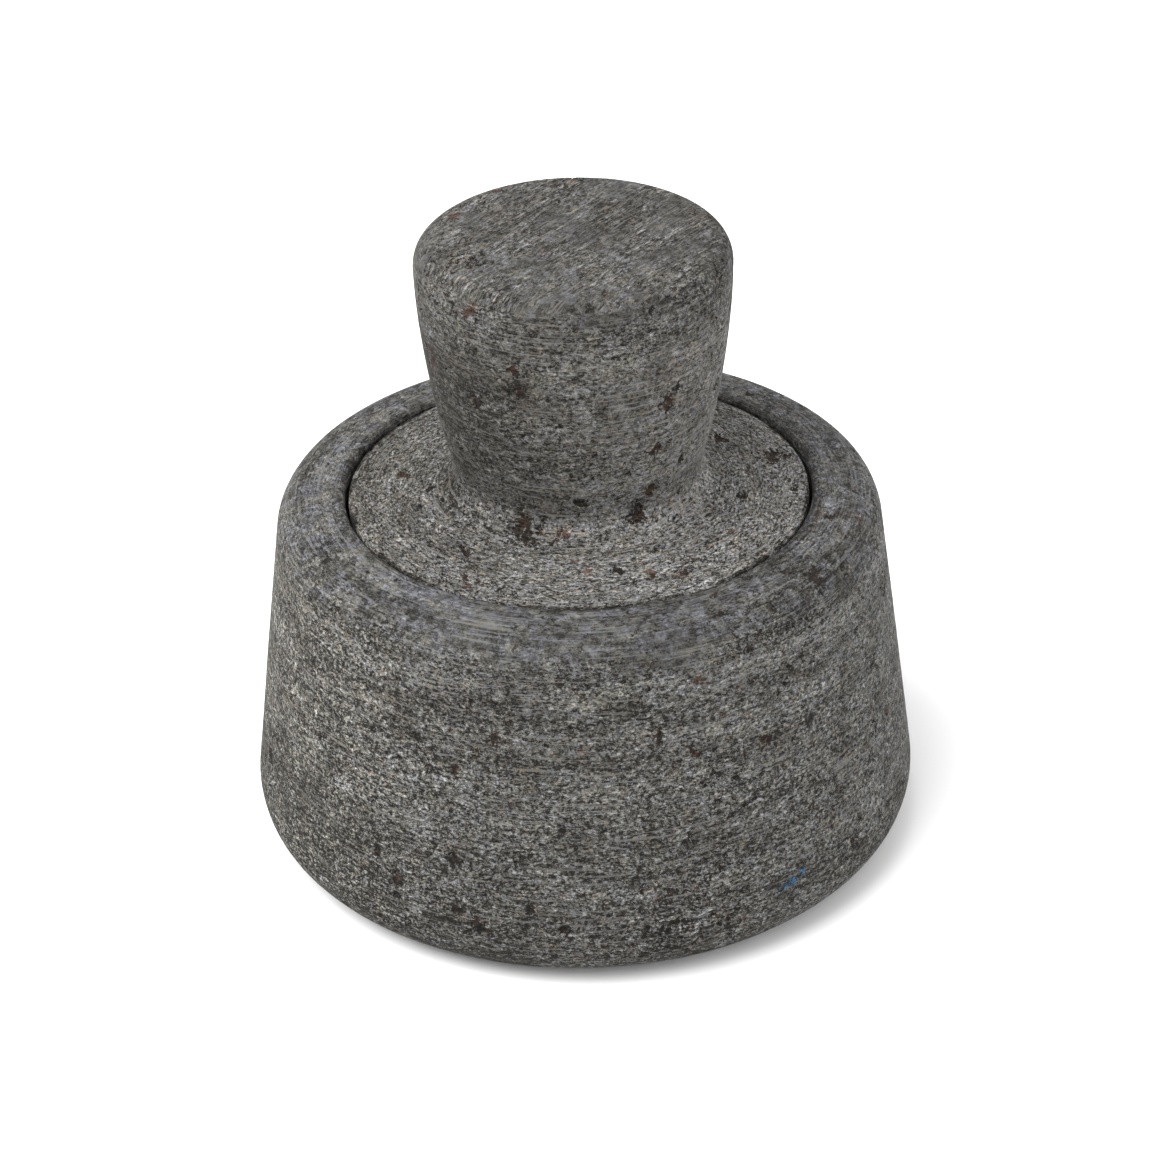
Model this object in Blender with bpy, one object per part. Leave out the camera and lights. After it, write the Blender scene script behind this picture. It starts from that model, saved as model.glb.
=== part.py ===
"""Legless molcajete: a turned stone mortar, and a pestle that closes its mouth and is lifted out by its handle.

Metres, +Z up. Both stones are turned about the world Z axis, and the mortar stands on the plane z = 0.
"""

import math

import bmesh
import bpy
from mathutils import Matrix, Vector

# Turning
STEPS = 72  # facets round the axis, a multiple of four
ARC_STEP = math.radians(22.5)  # largest turn between two points of a rounded corner

# Mortar, outside
MORTAR_HEIGHT = 0.0766
FOOT_RADIUS = 0.0713  # where the straight flank would meet the floor
FLANK_TAPER = 0.1306  # radius lost per unit of height
FOOT_ROUNDING = 0.0116
SHOULDER_ROUNDING = 0.0078

# Mortar, inside
MOUTH_RADIUS = 0.0476
LIP_ROUNDING = 0.0013
BOWL_TOP = 0.062  # the straight mouth ends here and the bowl begins
BOWL_FLOOR = 0.026
BOWL_POINTS = 9

# Pestle, handle
PESTLE_TOP = 0.1324
HANDLE_TOP_RADIUS = 0.0319
HANDLE_FOOT_RADIUS = 0.0241
HANDLE_TOP_ROUNDING = 0.0052
HANDLE_SWELL = 0.0020  # how far the handle's side bows out between its ends
SIDE_POINTS = 5
NECK_ROUNDING = 0.0050

# Pestle, disc that closes the mouth
MOUTH_CLEARANCE = 0.0005
DISC_TOP = 0.0757  # the disc's edge, just under the rim
DISC_RISE = 0.0029  # the disc climbs this much towards the neck
DISC_EDGE_ROUNDING = 0.0005
DISC_THICKNESS = 0.0125
DISC_LOWER_ROUNDING = 0.0025

# Pestle, grinding head
HEAD_RADIUS = 0.0370
HEAD_TOP = 0.0616
HEAD_FILLET = 0.0015  # where the head meets the disc's underside
REST_GAP = 0.0003  # between the head and the bowl's floor
HEAD_POINTS = 9

SHARP_ANGLE = math.radians(35)


def clear_scene():
    for obj in list(bpy.data.objects):
        bpy.data.objects.remove(obj, do_unlink=True)


def stone_material(name, colour, roughness):
    material = bpy.data.materials.new(name)
    material.use_nodes = True
    shader = material.node_tree.nodes["Principled BSDF"]
    shader.inputs["Base Color"].default_value = (*colour, 1.0)
    shader.inputs["Roughness"].default_value = roughness
    shader.inputs["Metallic"].default_value = 0.0
    return material


def rounded(corners):
    """The outline through (radius, height, rounding) corners, each rounding drawn as an arc."""
    points = []
    for i, (radius, height, rounding) in enumerate(corners):
        corner = Vector((radius, height))
        if rounding == 0.0:
            points.append(corner)
            continue
        back = (Vector(corners[i - 1][:2]) - corner).normalized()
        ahead = (Vector(corners[i + 1][:2]) - corner).normalized()
        half = back.angle(ahead) / 2
        centre = corner + (back + ahead).normalized() * (rounding / math.sin(half))
        start = corner + back * (rounding / math.tan(half)) - centre
        turn = math.copysign(math.pi - 2 * half, back.cross(start))
        pieces = math.ceil(abs(turn) / ARC_STEP)
        for k in range(pieces + 1):
            points.append(centre + Matrix.Rotation(turn * k / pieces, 2) @ start)
    return points


def quarter_ellipse(radius, top, bottom, count):
    """Corners from the axis at the bottom to the full radius at the top, without rounding."""
    for k in range(count + 1):
        angle = math.radians(90) * k / count
        across = radius * math.sin(angle) if k else 0.0
        yield (across, top - (top - bottom) * math.cos(angle), 0.0)


def bowed_side(start, end, swell, count):
    """Corners between two (radius, height) ends along a shallow bow, without the ends."""
    for k in range(1, count):
        share = k / count
        radius = start[0] + (end[0] - start[0]) * share + 4 * swell * share * (1 - share)
        yield (radius, start[1] + (end[1] - start[1]) * share, 0.0)


def mortar_outline():
    """From the bowl's floor on the axis, out over the rim and down the flank to the base."""
    rim_radius = FOOT_RADIUS - FLANK_TAPER * MORTAR_HEIGHT
    return rounded([
        *quarter_ellipse(MOUTH_RADIUS, BOWL_TOP, BOWL_FLOOR, BOWL_POINTS),
        (MOUTH_RADIUS, MORTAR_HEIGHT, LIP_ROUNDING),
        (rim_radius, MORTAR_HEIGHT, SHOULDER_ROUNDING),
        (FOOT_RADIUS, 0.0, FOOT_ROUNDING),
        (0.0, 0.0, 0.0),
    ])


def pestle_outline():
    """From the handle's top on the axis, down past the neck and the disc, under the head to the axis."""
    disc_radius = MOUTH_RADIUS - MOUTH_CLEARANCE
    disc_bottom = DISC_TOP - DISC_THICKNESS
    top = (HANDLE_TOP_RADIUS, PESTLE_TOP)
    neck = (HANDLE_FOOT_RADIUS, DISC_TOP + DISC_RISE)
    head_bottom = BOWL_FLOOR + REST_GAP
    head = list(quarter_ellipse(HEAD_RADIUS, HEAD_TOP, head_bottom, HEAD_POINTS))
    return rounded([
        (0.0, PESTLE_TOP, 0.0),
        (*top, HANDLE_TOP_ROUNDING),
        *bowed_side(top, neck, HANDLE_SWELL, SIDE_POINTS),
        (*neck, NECK_ROUNDING),
        (disc_radius, DISC_TOP, DISC_EDGE_ROUNDING),
        (disc_radius, disc_bottom, DISC_LOWER_ROUNDING),
        (HEAD_RADIUS, disc_bottom, HEAD_FILLET),
        *reversed(head),
    ])


def turned(name, outline, material):
    """A closed solid spun from an outline in the XZ plane that starts and ends on the Z axis."""
    bm = bmesh.new()
    verts = [bm.verts.new((point.x, 0.0, point.y)) for point in outline]
    edges = [bm.edges.new(pair) for pair in zip(verts, verts[1:])]
    bmesh.ops.spin(
        bm,
        geom=verts + edges,
        cent=(0.0, 0.0, 0.0),
        axis=(0.0, 0.0, 1.0),
        angle=math.tau,
        steps=STEPS,
        use_merge=True,
    )
    bmesh.ops.remove_doubles(bm, verts=bm.verts, dist=1e-6)
    bmesh.ops.recalc_face_normals(bm, faces=bm.faces)
    mesh = bpy.data.meshes.new(name)
    bm.to_mesh(mesh)
    bm.free()
    mesh.shade_smooth()
    mesh.set_sharp_from_angle(angle=SHARP_ANGLE)
    mesh.materials.append(material)
    obj = bpy.data.objects.new(name, mesh)
    bpy.context.scene.collection.objects.link(obj)
    return obj


def make_mortar():
    honed = stone_material("mortar_stone", (0.145, 0.141, 0.131), 0.82)
    return turned("mortar", mortar_outline(), honed)


def make_pestle():
    """The pestle's origin stays on the Z axis, which is the line it is lifted along."""
    coarse = stone_material("pestle_stone", (0.150, 0.145, 0.134), 0.88)
    return turned("pestle", pestle_outline(), coarse)


def main():
    clear_scene()
    make_mortar()
    make_pestle()


main()
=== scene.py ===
"""Looks of a legless molcajete: a turned stone mortar and the stone pestle that closes its mouth.

Each stone is turned again, at fine pitch, from the outline of its CAD solid. Stone is then only taken away:
shallow waviness, turning grooves and pits. The material reads the same fields as the shape, so that a pit is
dark where it is deep. Lengths are in metres.
"""

import math

import bmesh
import bpy
import numpy as np
from mathutils import Matrix, Vector


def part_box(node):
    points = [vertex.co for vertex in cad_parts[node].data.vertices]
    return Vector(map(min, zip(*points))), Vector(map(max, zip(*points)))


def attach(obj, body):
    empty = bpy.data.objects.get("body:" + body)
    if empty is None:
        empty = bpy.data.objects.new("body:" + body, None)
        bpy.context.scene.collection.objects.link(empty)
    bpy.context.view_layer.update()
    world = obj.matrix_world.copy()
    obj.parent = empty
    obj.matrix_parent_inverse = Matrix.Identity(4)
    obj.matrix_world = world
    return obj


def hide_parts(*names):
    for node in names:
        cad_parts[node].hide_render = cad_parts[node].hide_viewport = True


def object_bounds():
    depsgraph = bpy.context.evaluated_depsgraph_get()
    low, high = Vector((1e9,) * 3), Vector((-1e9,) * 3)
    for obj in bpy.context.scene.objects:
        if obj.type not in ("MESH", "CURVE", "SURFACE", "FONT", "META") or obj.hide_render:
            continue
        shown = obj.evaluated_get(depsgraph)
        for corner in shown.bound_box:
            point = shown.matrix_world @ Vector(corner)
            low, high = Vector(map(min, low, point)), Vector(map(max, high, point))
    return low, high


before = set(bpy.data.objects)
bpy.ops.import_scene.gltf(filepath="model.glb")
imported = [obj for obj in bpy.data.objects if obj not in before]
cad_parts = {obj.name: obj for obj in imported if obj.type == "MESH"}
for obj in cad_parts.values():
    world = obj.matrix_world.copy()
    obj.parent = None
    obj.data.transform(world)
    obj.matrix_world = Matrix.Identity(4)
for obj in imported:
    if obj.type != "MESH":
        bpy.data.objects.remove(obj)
cad_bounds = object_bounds()

# Mesh
PITCH = {"mortar": 0.0008, "pestle": 0.00072}  # between rings, along the outline
AROUND = {"mortar": 416, "pestle": 384}  # points on the widest rings, halved towards the axis
CROWDED = 0.55  # a ring whose points are closer than this share of the pitch loses every second one
STRAIGHT_RUN = 2.5  # an outline run this many times longer than its neighbour is straight, not part of an arc
SAME_LINE = 2e-3  # sine of the turn below which two runs lie on one line
SAME_POINT = 1e-5
CURVE_STEP = 0.02  # share of a run between two points of its curve
ON_AXIS = 1e-6

# Attributes that carry each point's place to the material
REST = "rest"  # where each point was before any stone was taken away
ALONG = "along"  # its distance along the outline

MM = 0.001

# Places taken from the frame
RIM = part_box("mortar")[1].z
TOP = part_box("pestle")[1].z
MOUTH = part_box("pestle")[1].x  # radius of the disc that fills it

# Noise
MORTAR_SEED = 1.0
PESTLE_SEED = 9.0

# Stone taken away, in metres of depth
WAVINESS = 0.0003
ROUGHNESS = 0.00012
GROOVE = 0.00006
PIT = 0.0005

SANDING_ANGLE = 53  # degrees, the direction of the streaks on the handle's top

# Colours
MORTAR_TONE = (0.0602, 0.0600, 0.0603)
PESTLE_TONE = (0.0598, 0.0588, 0.0584)
RUST = (0.046, 0.0240, 0.0165)
BLUE_PAINT = (0.014, 0.072, 0.145)
DARK_SOIL = (0.0085, 0.0066, 0.0048, 1)
RED_SOIL = (0.024, 0.0125, 0.0080, 1)

# Tints: a grain's colour is its stone's tone times one of these, or a mixture
COOL = (0.99, 1.00, 1.01, 1)
WARM = (1.04, 1.00, 0.86, 1)
BROWN = (1.09, 1.00, 0.82, 1)  # dark grains
TAN = (1.17, 1.00, 0.80, 1)  # scattered grains
BLUE = (0.98, 1.00, 1.10, 1)  # patches of the honed surface

# Larger brown pits: azimuth in degrees, then radius, height and size in mm.
# Azimuth 0 is the front, and it grows to the right.
MORTAR_BLOTCHES = (
    (-16, 64, 56, 2.4), (-23, 65, 48, 2.4), (11, 62, 66, 2.2), (13, 64, 56, 2.8), (19, 64, 51, 2.2),
    (-74, 68, 24, 3.4), (-38, 68, 24, 3.0), (-34, 68, 20, 4.0), (-23, 68, 28, 3.6), (-22, 69, 17, 2.6),
    (-18, 69, 14, 4.2), (-10, 69, 20, 3.0), (-4, 69, 15, 3.0), (14, 68, 22, 3.0), (9, 68, 9, 3.0),
    (40, 63, 62, 2.6), (33, 65, 49, 3.0), (52, 58, 75, 4.6), (66, 66, 47, 3.0), (-62, 57, 76, 2.0),
    (73, 52, 76, 2.6), (85, 56, 75, 2.6), (135, 52, 76, 2.6), (41, 50, 76, 2.4), (30, 51, 76, 2.2),
    (48, 54, 76, 2.6), (28, 57, 76, 2.4), (31, 62, 70, 2.2), (-50, 67, 36, 3.0), (24, 68, 31, 2.6),
    (52, 69, 16, 3.0),
)
PESTLE_BLOTCHES = (
    (-25, 26, 80, 6.0), (27, 25, 82, 4.6), (-22, 31, 118, 3.4), (-22, 31, 113, 3.4), (-40, 30, 109, 3.8),
    (69, 29, 104, 4.0), (36, 30, 108, 4.2), (40, 30, 111, 3.0), (33, 28, 97, 3.6), (48, 27, 92, 2.6),
    (33, 26, 87, 3.4), (4, 28, 99, 3.0), (28, 32, 130, 2.8), (0, 26, 87, 2.6), (-86, 30, 77, 2.8),
    (-98, 36, 77, 3.4), (104, 42, 76, 6.0), (119, 34, 77, 3.4), (-40, 35, 77, 2.8), (12, 36, 77, 2.4),
    (77, 34, 77, 2.8), (86, 44, 76, 2.4),
)

# Rust spots, in the same way
MORTAR_RUST = (
    (-106, 50, 76, 2.6), (-65, 50, 76, 2.2), (-103, 58, 75, 2.4), (-75, 61, 72, 3.0), (126, 53, 76, 3.0),
    (120, 54, 76, 2.4), (69, 67, 34, 3.0), (150, 63, 50, 3.0), (-160, 66, 33, 3.0),
)
PESTLE_RUST = (
    (-6, 26, 80, 2.4), (11, 30, 78, 2.2), (2, 35, 77, 2.4), (21, 38, 77, 3.0), (55, 37, 77, 2.0),
    (20, 34, 77, 2.2), (-2, 32, 77, 1.8), (-134, 13, 132, 3.0), (54, 7, 132, 2.0), (-115, 26, 132, 4.0),
    (-145, 27, 132, 2.6), (-178, 27, 132, 3.0), (-39, 31, 129, 3.4), (-65, 31, 112, 3.0), (-30, 44, 76, 2.0),
)

# A smear of blue paint low on the front, in the same way
SMEAR = ((33.6, 68.6, 14.9, 1.4), (34.9, 68.7, 15.4, 1.3), (36.4, 68.8, 16.1, 1.5), (38.2, 68.9, 16.9, 1.4))

# Turning bands on the mortar's flank, the lowest of them painted shade and dirt round the foot: height and
# reach in mm, then how much paler or darker they are
MORTAR_BANDS_AND_FOOT_SHADE = (
    (6, 7, -0.24), (15, 6, -0.14), (28, 6, -0.11), (49.5, 2, -0.06),
    (55, 3, 0.05), (60, 3.5, -0.14), (65.5, 3.5, 0.14), (71, 2, -0.06),
)

# Stage
FLOOR_RADIUS = 6.0
FLOOR_COLOUR = (0.93, 0.93, 0.93, 1)
SKY_STRENGTH = 1.05
LIGHTS = (("top", -55, 58, 33), ("left", -105, 20, 10), ("right", 75, 20, 6))  # azimuth, elevation, power
LIGHT_DISTANCE = 1.6
LIGHT_SIZE = 1.2

# Camera
CAMERA_DISTANCE = 0.7015
CAMERA_ELEVATION = math.radians(31.57)
CAMERA_ROLL = math.radians(-1.405)
CAMERA_TARGET = Vector((-0.0002, 0.0, 0.0534))
CAMERA_LENS = 104.8
CAMERA_SENSOR = 36.0


# ---------------------------------------------------------------- outlines and meshes


def outline(node):
    """(radius, height) points of the CAD solid, cut through its axis, from its lower to its upper end."""
    bm = bmesh.new()
    bm.from_mesh(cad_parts[node].data)
    bmesh.ops.remove_doubles(bm, verts=bm.verts, dist=1e-6)
    tilt = math.radians(2.5)  # between two facets' edges, so that every cut is a clean crossing
    ahead = Vector((math.cos(tilt), math.sin(tilt), 0))
    side = Vector((-math.sin(tilt), math.cos(tilt), 0))
    for normal, both in ((side, True), (-ahead, False)):
        bmesh.ops.bisect_plane(
            bm,
            geom=bm.verts[:] + bm.edges[:] + bm.faces[:],
            dist=1e-8,
            plane_co=(0, 0, 0),
            plane_no=normal,
            clear_outer=True,
            clear_inner=both,
        )
    ends = [v for v in bm.verts if len(v.link_edges) == 1]
    vert = min(ends, key=lambda v: v.co.z)
    chain, edge = [vert], None
    while True:
        onward = [e for e in vert.link_edges if e is not edge]
        if not onward:
            break
        edge = onward[0]
        vert = edge.other_vert(vert)
        chain.append(vert)
    points = np.array([(v.co.dot(ahead), v.co.z) for v in chain])
    bm.free()
    points[:, 0] *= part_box(node)[1].x / points[:, 0].max()
    points[[0, -1], 0] = 0.0
    return corners_only(points)


def corners_only(points):
    """The points where the outline turns, without those that lie on a straight run."""
    kept = [points[0]]
    for here, after in zip(points[1:-1], points[2:]):
        back, on = here - kept[-1], after - here
        if np.linalg.norm(back) < SAME_POINT:
            continue
        turn = abs(back[0] * on[1] - back[1] * on[0])
        if turn > SAME_LINE * np.linalg.norm(back) * np.linalg.norm(on):
            kept.append(here)
    return np.array(kept + [points[-1]])


def smoothed(points, pitch):
    """The outline resampled at a pitch, with its arcs rounded and its straight runs kept straight."""
    mirror = np.array([-1.0, 1.0])
    padded = np.concatenate([[points[1] * mirror], points, [points[-2] * mirror]])
    runs = np.diff(padded, axis=0)
    lengths = np.linalg.norm(runs, axis=1)
    headings = runs / lengths[:, None]
    tangents = []
    for k in range(len(points)):
        before, after = lengths[k], lengths[k + 1]
        if before > STRAIGHT_RUN * after:
            tangent = headings[k]
        elif after > STRAIGHT_RUN * before:
            tangent = headings[k + 1]
        else:
            tangent = headings[k] * after + headings[k + 1] * before
        tangents.append(tangent / np.linalg.norm(tangent))
    dense = []
    for k in range(len(points) - 1):
        length = lengths[k + 1]
        for t in np.arange(0, 1, CURVE_STEP):
            a, b = (1 + 2 * t) * (1 - t) ** 2, t * (1 - t) ** 2
            c, d = t * t * (3 - 2 * t), t * t * (t - 1)
            dense.append(
                a * points[k] + b * length * tangents[k] + c * points[k + 1] + d * length * tangents[k + 1]
            )
    dense = np.array(dense + [points[-1]])
    along = np.concatenate([[0], np.cumsum(np.linalg.norm(np.diff(dense, axis=0), axis=1))])
    places = np.linspace(0, along[-1], math.ceil(along[-1] / pitch) + 1)
    rings = np.stack([np.interp(places, along, dense[:, 0]), np.interp(places, along, dense[:, 1])], axis=1)
    return rings, places


def turned(name, node):
    """A closed mesh turned from the node's outline, with fewer points on the rings near the axis."""
    pitch = PITCH[node]
    rings, places = smoothed(outline(node), pitch)
    co, faces, along, starts, counts = [], [], [], [], []
    for (radius, height), place in zip(rings, places):
        count = AROUND[node]
        while count % 2 == 0 and count > 6 and 2 * math.pi * radius / count < CROWDED * pitch:
            count //= 2
        if radius < ON_AXIS:
            count = 1
        starts.append(len(co))
        counts.append(count)
        along += [place] * count
        for k in range(count):
            angle = 2 * math.pi * k / count
            co.append((radius * math.cos(angle), radius * math.sin(angle), height))
    for a, b, n, m in zip(starts, starts[1:], counts, counts[1:]):
        faces += strip(a, n, b, m)
    mesh = bpy.data.meshes.new(name)
    mesh.from_pydata(co, [], faces)
    mesh.attributes.new(ALONG, "FLOAT", "POINT").data.foreach_set("value", along)
    mesh.shade_smooth()
    obj = bpy.data.objects.new(name, mesh)
    bpy.context.scene.collection.objects.link(obj)
    return obj


def strip(a, n, b, m):
    """Faces between ring a of n points and the next ring b of m. One may have twice the other's points."""
    if n == 1:
        return [(a, b + (k + 1) % m, b + k) for k in range(m)]
    if m == 1:
        return [(a + k, a + (k + 1) % n, b) for k in range(n)]
    if n == m:
        return [(a + k, a + (k + 1) % n, b + (k + 1) % n, b + k) for k in range(n)]
    faces = []
    for k in range(min(n, m)):
        after = (k + 1) % min(n, m)
        if n < m:
            fine, middle, last = b + 2 * k, b + 2 * k + 1, b + 2 * after
            faces += [(a + k, middle, fine), (a + k, a + after, middle), (a + after, last, middle)]
        else:
            fine, middle, last = a + 2 * k, a + 2 * k + 1, a + 2 * after
            faces += [(fine, middle, b + k), (middle, b + after, b + k), (middle, last, b + after)]
    return faces


# ---------------------------------------------------------------- node trees


class Tree:
    """Adds nodes to a shader or geometry node tree. Every method returns an output socket or sockets."""

    def __init__(self, tree):
        self.tree = tree

    def add(self, kind, inputs=None, out=0, **settings):
        node = self.tree.nodes.new(kind)
        for key, value in settings.items():
            setattr(node, key, value)
        for key, value in (inputs or {}).items():
            if isinstance(value, bpy.types.NodeSocket):
                self.tree.links.new(value, node.inputs[key])
            else:
                node.inputs[key].default_value = value
        return node.outputs[out]

    def math(self, operation, a, b=0.0, c=0.0):
        return self.add("ShaderNodeMath", {0: a, 1: b, 2: c}, operation=operation)

    def plus(self, *values):
        total = values[0]
        for value in values[1:]:
            total = self.math("ADD", total, value)
        return total

    def times(self, *values):
        total = values[0]
        for value in values[1:]:
            total = self.math("MULTIPLY", total, value)
        return total

    def vector(self, operation, a, b, out=0):
        return self.add("ShaderNodeVectorMath", {0: a, 1: b}, out=out, operation=operation)

    def scaled(self, vector, factor):
        return self.add("ShaderNodeVectorMath", {0: vector, "Scale": factor}, operation="SCALE")

    def split(self, vector):
        node = self.tree.nodes.new("ShaderNodeSeparateXYZ")
        self.tree.links.new(vector, node.inputs[0])
        return node.outputs

    def joined(self, x, y, z):
        return self.add("ShaderNodeCombineXYZ", {0: x, 1: y, 2: z})

    def step(self, value, low, high, start=0.0, end=1.0):
        """start below low, end above high, and a smooth step between."""
        inputs = {"Value": value, "From Min": low, "From Max": high, "To Min": start, "To Max": end}
        return self.add("ShaderNodeMapRange", inputs, interpolation_type="SMOOTHSTEP")

    def noise(self, vector, scale, detail=2.0, roughness=0.5, seed=0.0):
        """Noise about 0, mostly within 0.25 either way. scale is features per metre."""
        moved = self.vector("ADD", vector, (0.37 * seed, 0.61 * seed, 0.83 * seed))
        inputs = {"Vector": moved, "Scale": scale, "Detail": detail, "Roughness": roughness}
        return self.math("SUBTRACT", self.add("ShaderNodeTexNoise", inputs, noise_dimensions="3D"), 0.5)

    def mix(self, share, a, b):
        return self.add("ShaderNodeMix", {0: share, 6: a, 7: b}, out=2, data_type="RGBA")

    def either(self, share, a, b):
        return self.add("ShaderNodeMix", {0: share, 4: a, 5: b}, out=1, data_type="VECTOR")


# ---------------------------------------------------------------- fields shared by shape and material


def radius_of(tree, place):
    x, y, _ = tree.split(place)
    return tree.add("ShaderNodeVectorMath", {0: tree.joined(x, y, 0.0)}, out=1, operation="LENGTH")


def drawn_out(tree, place, along, share):
    """Coordinates in which detail is drawn out along the turning direction, 1 / share times its width."""
    x, y, _ = tree.split(place)
    return tree.joined(tree.times(x, share), tree.times(y, share), along)


def spots(tree, place, ragged, places):
    """0.34 at the middle of a listed spot and -0.26 from its edge outwards, plus ragged noise."""
    value = -1.0
    for azimuth, radius, height, size in places:
        turn = math.radians(azimuth)
        centre = (radius * MM * math.sin(turn), -radius * MM * math.cos(turn), height * MM)
        distance = tree.vector("DISTANCE", place, centre, out=1)
        value = tree.math("MAXIMUM", value, tree.step(distance, 0.0, size * MM, 0.34, -0.26))
    return tree.plus(value, tree.times(ragged, 2.2))


def pits(tree, place, seed, blotches):
    """1 inside the irregular pits where soft brown grains have fallen out, 0 on sound stone."""
    clusters = tree.noise(place, 45, detail=1, seed=seed)
    ragged = tree.noise(place, 560, detail=3, roughness=0.9, seed=seed + 3)
    value = tree.plus(ragged, tree.times(clusters, 0.25))
    return tree.step(tree.math("MAXIMUM", value, spots(tree, place, ragged, blotches)), 0.122, 0.147)


def grooves(tree, place, along, seed):
    """Ridges left by turning, about 0, drawn out round the axis."""
    return tree.noise(drawn_out(tree, place, along, 0.04), 900, detail=2, roughness=0.6, seed=seed)


# ---------------------------------------------------------------- shape


def take_stone_away(obj, seed, blotches):
    """Moves the surface inwards by waviness, roughness, grooves and pits.

    There is no waviness next to the gap round the mouth, so the gap stays even.
    """
    group = bpy.data.node_groups.new(obj.name + "_wear", "GeometryNodeTree")
    group.interface.new_socket("Geometry", in_out="INPUT", socket_type="NodeSocketGeometry")
    group.interface.new_socket("Geometry", in_out="OUTPUT", socket_type="NodeSocketGeometry")
    tree = Tree(group)
    source = tree.add("NodeGroupInput")
    place = tree.add("GeometryNodeInputPosition")
    along = tree.add("GeometryNodeInputNamedAttribute", {"Name": ALONG}, data_type="FLOAT")
    kept = tree.add(
        "GeometryNodeStoreNamedAttribute",
        {"Geometry": source, "Name": REST, "Value": place},
        data_type="FLOAT_VECTOR",
        domain="POINT",
    )
    from_gap = tree.math("ABSOLUTE", tree.math("SUBTRACT", radius_of(tree, place), MOUTH))
    clear = tree.step(from_gap, 0.0010, 0.0050)
    wave = tree.math("ADD", tree.noise(place, 28, detail=1, seed=seed), 0.5)
    rough = tree.math("ADD", tree.noise(place, 420, detail=3, roughness=0.7, seed=seed + 7), 0.5)
    ridge = tree.math("ADD", grooves(tree, place, along, seed), 0.5)
    depth = tree.plus(
        tree.times(wave, clear, WAVINESS),
        tree.times(rough, ROUGHNESS),
        tree.times(ridge, GROOVE),
        tree.times(pits(tree, place, seed, blotches), PIT),
    )
    normal = tree.add("GeometryNodeInputNormal")
    offset = tree.scaled(normal, tree.times(depth, -1.0))
    moved = tree.add("GeometryNodeSetPosition", {"Geometry": kept, "Offset": offset})
    sink = group.nodes.new("NodeGroupOutput")
    group.links.new(moved, sink.inputs[0])
    modifier = obj.modifiers.new("wear", "NODES")
    modifier.node_group = group
    bpy.context.view_layer.objects.active = obj
    bpy.ops.object.modifier_apply(modifier=modifier.name)


# ---------------------------------------------------------------- stone


def rim_zone(tree, place):
    """1 on the mortar's honed rim, with a blurred and patchy outer edge."""
    wobble = tree.noise(place, 60, detail=3, roughness=0.6, seed=31)
    height = tree.plus(tree.split(place)[2], tree.times(wobble, 0.012))
    return tree.step(height, RIM - 0.0082, RIM - 0.0022)


def top_zone(tree, place):
    """1 on the flat top of the pestle's handle, with a ragged edge."""
    wobble = tree.noise(place, 200, detail=4, roughness=0.8, seed=32)
    height = tree.plus(tree.split(place)[2], tree.times(wobble, 0.007))
    return tree.step(height, TOP - 0.0018, TOP - 0.0016)


def band(tree, height, middle, reach):
    """1 at the middle height and 0 beyond its reach, in mm, with smooth shoulders."""
    off = tree.math("ABSOLUTE", tree.math("SUBTRACT", height, middle * MM))
    return tree.step(off, reach * MM, reach * MM * 0.3)


def worn_top(tree, place):
    """Patches worn smooth on the handle's top and over its rounded edge."""
    on_top = tree.step(tree.split(place)[2], TOP - 0.0055, TOP - 0.0035)
    return tree.times(on_top, tree.step(tree.noise(place, 95, detail=2, seed=35), 0.0, 0.07, 0.0, 0.6))


def mortar_tone(tree, place):
    """Bands left by turning, painted light and shade towards both sides, painted shade at the foot, the front
    and the lip, and a paler ring round the mouth.
    """
    x, _, height = tree.split(place)
    wobble = tree.noise(place, 50, detail=2, seed=34)
    level = tree.plus(height, tree.times(wobble, 0.008))
    # Turning bands; the lowest is painted shade and dirt round the foot
    bands = [tree.times(band(tree, level, middle, reach), tone) for middle, reach, tone in MORTAR_BANDS_AND_FOOT_SHADE]
    # Painted light and shade towards the sides, changing with height: towards -X darker low down and on the
    # rim and paler between, towards +X paler below the rim and darker on it
    darker = tree.plus(tree.step(height, 0.018, 0.050, 3.4, -0.9), tree.step(height, 0.060, 0.067, 0.0, 2.2))
    left = tree.times(tree.math("MINIMUM", x, 0.0), darker)
    paler = tree.plus(tree.step(height, 0.020, 0.045, 0.9, 0.3), tree.step(height, 0.066, 0.072, 0.0, -1.5))
    right = tree.times(tree.math("MAXIMUM", x, 0.0), paler)
    # Painted shade at the front
    front = tree.step(tree.math("ABSOLUTE", x), 0.006, 0.024, -0.06, 0.0)
    on_rim = tree.step(height, RIM - 0.004, RIM - 0.002)
    radius = tree.plus(radius_of(tree, place), tree.times(wobble, 0.006))
    ring = tree.times(on_rim, tree.step(radius, MOUTH + 0.0095, MOUTH + 0.0070))
    # Painted shade on the lip's inner slope by the gap
    lip_shade = tree.step(radius, MOUTH + 0.0012, MOUTH + 0.0040, -0.26, 0.0)
    ring = tree.times(ring, tree.step(x, -0.02, 0.03, 0.17, -0.06))
    return tree.plus(left, right, front, ring, tree.times(on_rim, lip_shade), *bands)


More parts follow.
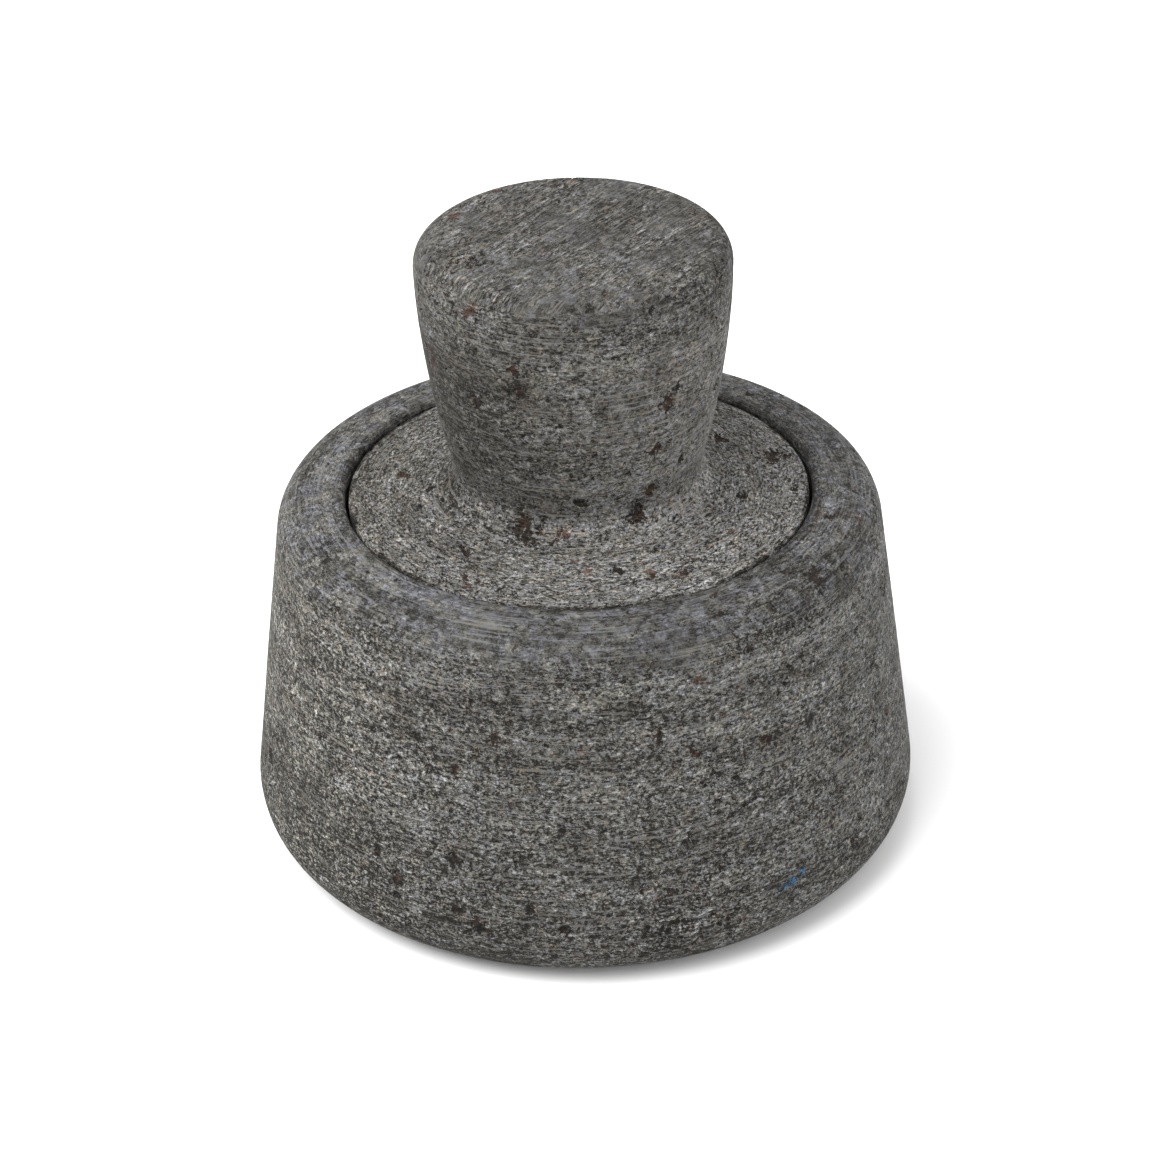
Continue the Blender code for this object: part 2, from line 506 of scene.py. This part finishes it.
def pestle_tone(tree, place):
    """A paler disc with painted light to the front and +X and a worn edge with painted gap shade and dirt,
    painted shade towards -X and light towards +X on the neck and handle, a darker corner, and painted shade
    on the top.
    """
    x, y, height = tree.split(place)
    disc = tree.step(height, RIM + 0.0085, RIM + 0.0030)
    radius = radius_of(tree, place)
    above = tree.step(height, RIM - 0.0022, RIM - 0.0012)
    patches = tree.noise(place, 110, detail=2, seed=33)
    worn = tree.times(tree.step(patches, -0.02, 0.14), tree.step(radius, MOUTH - 0.0020, MOUTH - 0.0004))
    # Painted shade of the gap, and dirt: a dark broken line at the disc's edge
    gap_shade_and_dirt = tree.times(tree.step(patches, 0.06, 0.0), tree.step(radius, MOUTH - 0.0011, MOUTH - 0.0006))
    off_disc = tree.step(height, RIM + 0.0005, RIM + 0.004)
    neck = tree.times(off_disc, tree.step(height, TOP - 0.004, TOP - 0.020))
    # Painted shade towards -X and painted light towards +X on the neck and handle
    left = tree.times(tree.math("MINIMUM", x, 0.0), 19.0)
    right = tree.times(tree.math("MAXIMUM", x, 0.0), 6.0)
    low = tree.step(height, RIM + 0.012, RIM + 0.018, 0.22, 0.10)
    top = tree.step(height, TOP - 0.004, TOP - 0.001)
    off_neck = tree.step(height, RIM + 0.005, RIM + 0.012)
    handle = tree.times(off_neck, tree.step(height, TOP - 0.002, TOP - 0.006))
    blurs = tree.noise(place, 260, detail=3, roughness=0.7, seed=36)
    corner = band(tree, height, (TOP - 0.0035) / MM, 5)
    return tree.plus(
        tree.times(disc, 0.18),
        # Painted light towards the front and +X, and painted shade of the handle towards the back
        tree.times(disc, tree.plus(tree.times(x, 3.4), tree.times(y, -1.4))),
        # Paler worn patches, and the painted gap shade and dirt at the disc's edge
        tree.times(above, tree.plus(tree.times(worn, 0.20), tree.times(gap_shade_and_dirt, -0.60))),
        # Painted shade towards -X and painted light towards +X on the neck and handle
        tree.times(neck, tree.plus(left, right, low)),
        tree.times(corner, -0.08),
        tree.times(handle, blurs),
        # Painted shade on the handle's top, darker towards +X
        tree.times(top, tree.plus(-0.05, tree.times(x, -3.0))),
    )


def mortar_crispness(tree, place):
    """Stronger grain towards -X, low on the flank and on the rim's +X side, and weaker below the rim."""
    x, _, height = tree.split(place)
    right_rim = tree.times(tree.step(x, 0.015, 0.045), tree.step(height, RIM - 0.010, RIM - 0.004))
    return tree.plus(
        tree.step(x, -0.060, -0.015, 1.68, 1.22),
        tree.step(height, 0.012, 0.024, 0.12, -0.05),
        tree.step(height, 0.046, 0.060, 0.0, -0.12),
        tree.times(right_rim, 0.30),
    )


def pestle_crispness(tree, place):
    """Full contrast on the disc, more towards +X, and less on the neck and the handle."""
    x, _, height = tree.split(place)
    handle = tree.step(height, RIM + 0.002, RIM + 0.008)
    disc = tree.plus(1.26, tree.step(x, 0.010, 0.035, 0.0, 0.18))
    return tree.plus(disc, tree.times(handle, tree.math("SUBTRACT", 0.90, disc)))


def directions(tree, place, along, width, straight=None):
    """Coordinates for grains, dabs, streaks and long lines, each drawn out more than the one before.

    They follow the turning direction, or the sanding direction where straight is 1.
    """
    ways = [drawn_out(tree, place, along, share) for share in (width, width * 0.4, 0.12, 0.03)]
    if straight is None:
        return ways
    turn = math.radians(SANDING_ANGLE)
    ahead = tree.vector("DOT_PRODUCT", place, (math.cos(turn), math.sin(turn), 0.0), out=1)
    aside = tree.vector("DOT_PRODUCT", place, (-math.sin(turn), math.cos(turn), 0.0), out=1)
    sanded = [tree.joined(tree.times(ahead, share), aside, 0.0) for share in (0.60, 0.25, 0.15, 0.08)]
    return [tree.either(straight, turned_way, sanded_way) for turned_way, sanded_way in zip(ways, sanded)]


def stone(name, seed, tone, blotches, rusty, tone_map, crispness, width, honed, sanded=None, smear=None):
    """Dark grey fine-grained stone: grains, dark clots, brown pits, rust, smudges and turning scratches.

    tone_map gives how much paler each place is, crispness the contrast of its grain, and width a grain's
    width as a share of its length. honed and sanded give the zones of a smoother, bluish surface and of
    straight sanding streaks. blotches, rusty and smear are the listed pits, rust and blue paint.
    """
    material = bpy.data.materials.new(name)
    material.use_nodes = True
    tree = Tree(material.node_tree)
    shader = material.node_tree.nodes["Principled BSDF"]
    place = tree.add("ShaderNodeAttribute", out=1, attribute_name=REST)
    along = tree.add("ShaderNodeAttribute", out=2, attribute_name=ALONG)
    smooth = honed(tree, place)
    straight = sanded(tree, place) if sanded else None
    grain_way, dab_way, streak_way, line_way = directions(tree, place, along, width, straight)

    # How pale each grain is, about 1
    coarse = tree.noise(grain_way, 1220, detail=2, roughness=1.0, seed=seed)
    pale = tree.step(tree.noise(grain_way, 1900, detail=2, roughness=0.8, seed=seed + 1), 0.02, 0.07)
    dark = tree.step(tree.noise(grain_way, 1550, detail=2, roughness=0.9, seed=seed + 4), 0.03, 0.08)
    dabs = tree.step(tree.noise(dab_way, 2300, detail=1, roughness=0.7, seed=seed + 2), 0.06, 0.14)
    gouges = tree.step(tree.noise(dab_way, 1700, detail=2, roughness=0.7, seed=seed + 12), 0.07, 0.12)
    streaks = tree.step(tree.noise(streak_way, 800, detail=2, roughness=0.7, seed=seed + 13), 0.03, 0.16)
    smudges = tree.noise(grain_way, 130, detail=3, roughness=0.65, seed=seed + 5)
    blurred = tree.step(smudges, -0.02, 0.10)
    clots = tree.noise(grain_way, 400, detail=4, roughness=0.9, seed=seed + 6)
    clots = tree.step(tree.plus(clots, tree.times(smudges, 0.35)), 0.08, 0.11)
    clouds = tree.noise(place, 30, detail=1, seed=seed + 7)
    bands = tree.noise(line_way, 160, detail=2, roughness=0.6, seed=seed + 8)
    lines = tree.noise(line_way, 2200, detail=1, seed=seed + 9)
    scratches = tree.step(tree.plus(lines, tree.times(smudges, 0.3)), 0.13, 0.18)
    cuts = tree.step(lines, -0.14, -0.20)
    streak_strength = tree.plus(0.24, tree.times(straight, 0.42)) if sanded else 0.24
    grain = tree.plus(
        tree.times(coarse, 3.1),
        tree.times(pale, 0.30),
        tree.times(dark, -0.60),
        tree.times(dabs, 0.32),
        tree.times(gouges, -0.46),
        tree.times(streaks, streak_strength),
        tree.times(clots, -0.54),
        tree.times(cuts, -0.22),
    )
    ground_tone = tone_map(tree, place)
    mottled = tree.noise(place, 430, detail=3, roughness=0.8, seed=seed + 15)
    contrast = tree.plus(crispness(tree, place), tree.times(blurred, -0.28), tree.times(smooth, -0.62))
    level = tree.plus(
        1.05,
        tree.times(grain, contrast),
        tree.times(smudges, -0.50),
        tree.times(clouds, 0.35),
        tree.times(bands, tree.plus(0.45, tree.times(smooth, 0.25))),
        tree.times(mottled, tree.plus(0.8, tree.times(smooth, 1.5))),
        tree.times(smooth, lines, 0.8),
        ground_tone,
    )
    level = tree.math("MAXIMUM", level, 0.31)
    scored = tree.times(scratches, tree.math("SUBTRACT", tree.plus(1.38, ground_tone), level))
    level = tree.plus(level, tree.times(scored, 0.75))
    light = tree.times(level, level)

    # Its tint
    hue = tree.noise(grain_way, 420, detail=2, roughness=0.8, seed=seed + 10)
    patchy = tree.noise(place, 170, detail=3, roughness=0.7, seed=seed + 14)
    left = tree.step(tree.split(place)[0], -0.060, -0.025, 0.5, 0.0)
    warmth = tree.plus(0.95, left, tree.times(hue, 3.6), tree.times(level, -0.40))
    tint = tree.mix(tree.step(warmth, 0.0, 1.0), COOL, WARM)
    bluish = tree.step(tree.plus(tree.times(patchy, 3.5), tree.times(hue, 2.5)), 0.35, -0.45)
    tint = tree.mix(tree.times(smooth, bluish), tint, BLUE)
    tint = tree.mix(tree.step(tree.plus(level, hue), 1.00, 0.45), tint, BROWN)
    tans = tree.noise(grain_way, 750, detail=2, roughness=0.8, seed=seed + 16)
    tans = tree.plus(tans, tree.times(smudges, 0.3), tree.times(smooth, -0.06), tree.times(left, 0.05))
    tint = tree.mix(tree.step(tans, 0.11, 0.15), tint, TAN)
    ground = tree.vector("MULTIPLY", tree.scaled(tint, light), tone)

    # Rust, paint and pits
    flecks = tree.noise(dab_way, 620, detail=3, roughness=0.8, seed=seed + 11)
    scattered = tree.plus(flecks, tree.times(clouds, 0.5), -0.03)
    stains = tree.math("MAXIMUM", scattered, spots(tree, place, tree.times(flecks, 0.85), rusty))
    rust = tree.step(stains, 0.18, 0.21)
    ground = tree.mix(tree.times(rust, 0.85), ground, tree.scaled(RUST, level))
    if smear:
        painted = tree.step(spots(tree, place, 0.0, smear), -0.24, -0.04)
        painted = tree.times(painted, tree.step(flecks, -0.08, 0.02))
        ground = tree.mix(tree.times(painted, 0.8), ground, tree.scaled(BLUE_PAINT, level))
    hole = pits(tree, place, seed, blotches)
    soil = tree.mix(tree.step(hue, -0.02, 0.10), DARK_SOIL, RED_SOIL)
    colour = tree.mix(tree.times(hole, 0.94), ground, tree.scaled(soil, level))
    material.node_tree.links.new(colour, shader.inputs["Base Color"])

    # Surface
    roughness = tree.step(smooth, 0.0, 1.0, 0.88, 0.66)
    material.node_tree.links.new(roughness, shader.inputs["Roughness"])
    shader.inputs["Specular IOR Level"].default_value = 0.2
    bumps = tree.plus(level, tree.times(hole, -0.8))
    bump = tree.add("ShaderNodeBump", {"Height": bumps, "Distance": 0.0001, "Strength": 0.8})
    material.node_tree.links.new(bump, shader.inputs["Normal"])
    return material


def make_mortar():
    obj = turned("mortar_stone", "mortar")
    take_stone_away(obj, MORTAR_SEED, MORTAR_BLOTCHES)
    material = stone(
        "mortar_stone",
        MORTAR_SEED,
        MORTAR_TONE,
        MORTAR_BLOTCHES,
        MORTAR_RUST,
        mortar_tone,
        mortar_crispness,
        width=0.75,
        honed=rim_zone,
        smear=SMEAR,
    )
    obj.data.materials.append(material)
    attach(obj, "mortar")
    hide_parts("mortar")


def make_pestle():
    obj = turned("pestle_stone", "pestle")
    take_stone_away(obj, PESTLE_SEED, PESTLE_BLOTCHES)
    material = stone(
        "pestle_stone",
        PESTLE_SEED,
        PESTLE_TONE,
        PESTLE_BLOTCHES,
        PESTLE_RUST,
        pestle_tone,
        pestle_crispness,
        width=0.74,
        honed=worn_top,
        sanded=top_zone,
    )
    obj.data.materials.append(material)
    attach(obj, "pestle")
    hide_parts("pestle")


# ---------------------------------------------------------------- stage


def make_floor():
    bm = bmesh.new()
    bmesh.ops.create_circle(bm, cap_ends=True, radius=FLOOR_RADIUS, segments=96)
    mesh = bpy.data.meshes.new("floor")
    bm.to_mesh(mesh)
    bm.free()
    floor = bpy.data.objects.new("floor", mesh)
    floor.location.z = cad_bounds[0][2]
    bpy.context.scene.collection.objects.link(floor)
    paper = bpy.data.materials.new("pale_floor")
    paper.use_nodes = True
    shader = paper.node_tree.nodes["Principled BSDF"]
    shader.inputs["Base Color"].default_value = FLOOR_COLOUR
    shader.inputs["Roughness"].default_value = 0.9
    mesh.materials.append(paper)


def soft_light(name, azimuth, elevation, power):
    """A square soft box aimed at the object. Azimuth 0 is the camera's side, and it grows to the right."""
    data = bpy.data.lights.new(name, "AREA")
    data.shape = "SQUARE"
    data.size = LIGHT_SIZE
    data.energy = power
    obj = bpy.data.objects.new(name, data)
    a, e = math.radians(azimuth), math.radians(elevation)
    aim = Vector((0, 0, CAMERA_TARGET.z))
    away = Vector((math.sin(a) * math.cos(e), -math.cos(a) * math.cos(e), math.sin(e)))
    obj.location = aim + away * LIGHT_DISTANCE
    obj.rotation_euler = away.to_track_quat("Z", "Y").to_euler()
    bpy.context.scene.collection.objects.link(obj)


def make_lights():
    world = bpy.data.worlds.new("studio")
    world.use_nodes = True
    background = world.node_tree.nodes["Background"]
    background.inputs["Color"].default_value = (1, 1, 1, 1)
    background.inputs["Strength"].default_value = SKY_STRENGTH
    bpy.context.scene.world = world
    for light in LIGHTS:
        soft_light(*light)
    bpy.context.scene.view_settings.view_transform = "Standard"


def make_camera():
    data = bpy.data.cameras.new("camera")
    data.sensor_width = CAMERA_SENSOR
    data.lens = CAMERA_LENS
    camera = bpy.data.objects.new("camera", data)
    ahead = Vector((0, math.cos(CAMERA_ELEVATION), -math.sin(CAMERA_ELEVATION)))
    level_up = Vector((1, 0, 0)).cross(ahead)
    right = Vector((1, 0, 0)) * math.cos(CAMERA_ROLL) + level_up * math.sin(CAMERA_ROLL)
    up = right.cross(ahead)
    turn = Matrix((right, up, -ahead)).transposed().to_4x4()
    camera.matrix_world = Matrix.Translation(CAMERA_TARGET - ahead * CAMERA_DISTANCE) @ turn
    bpy.context.scene.collection.objects.link(camera)
    bpy.context.scene.camera = camera


make_camera()
make_mortar()
make_pestle()
make_floor()
make_lights()
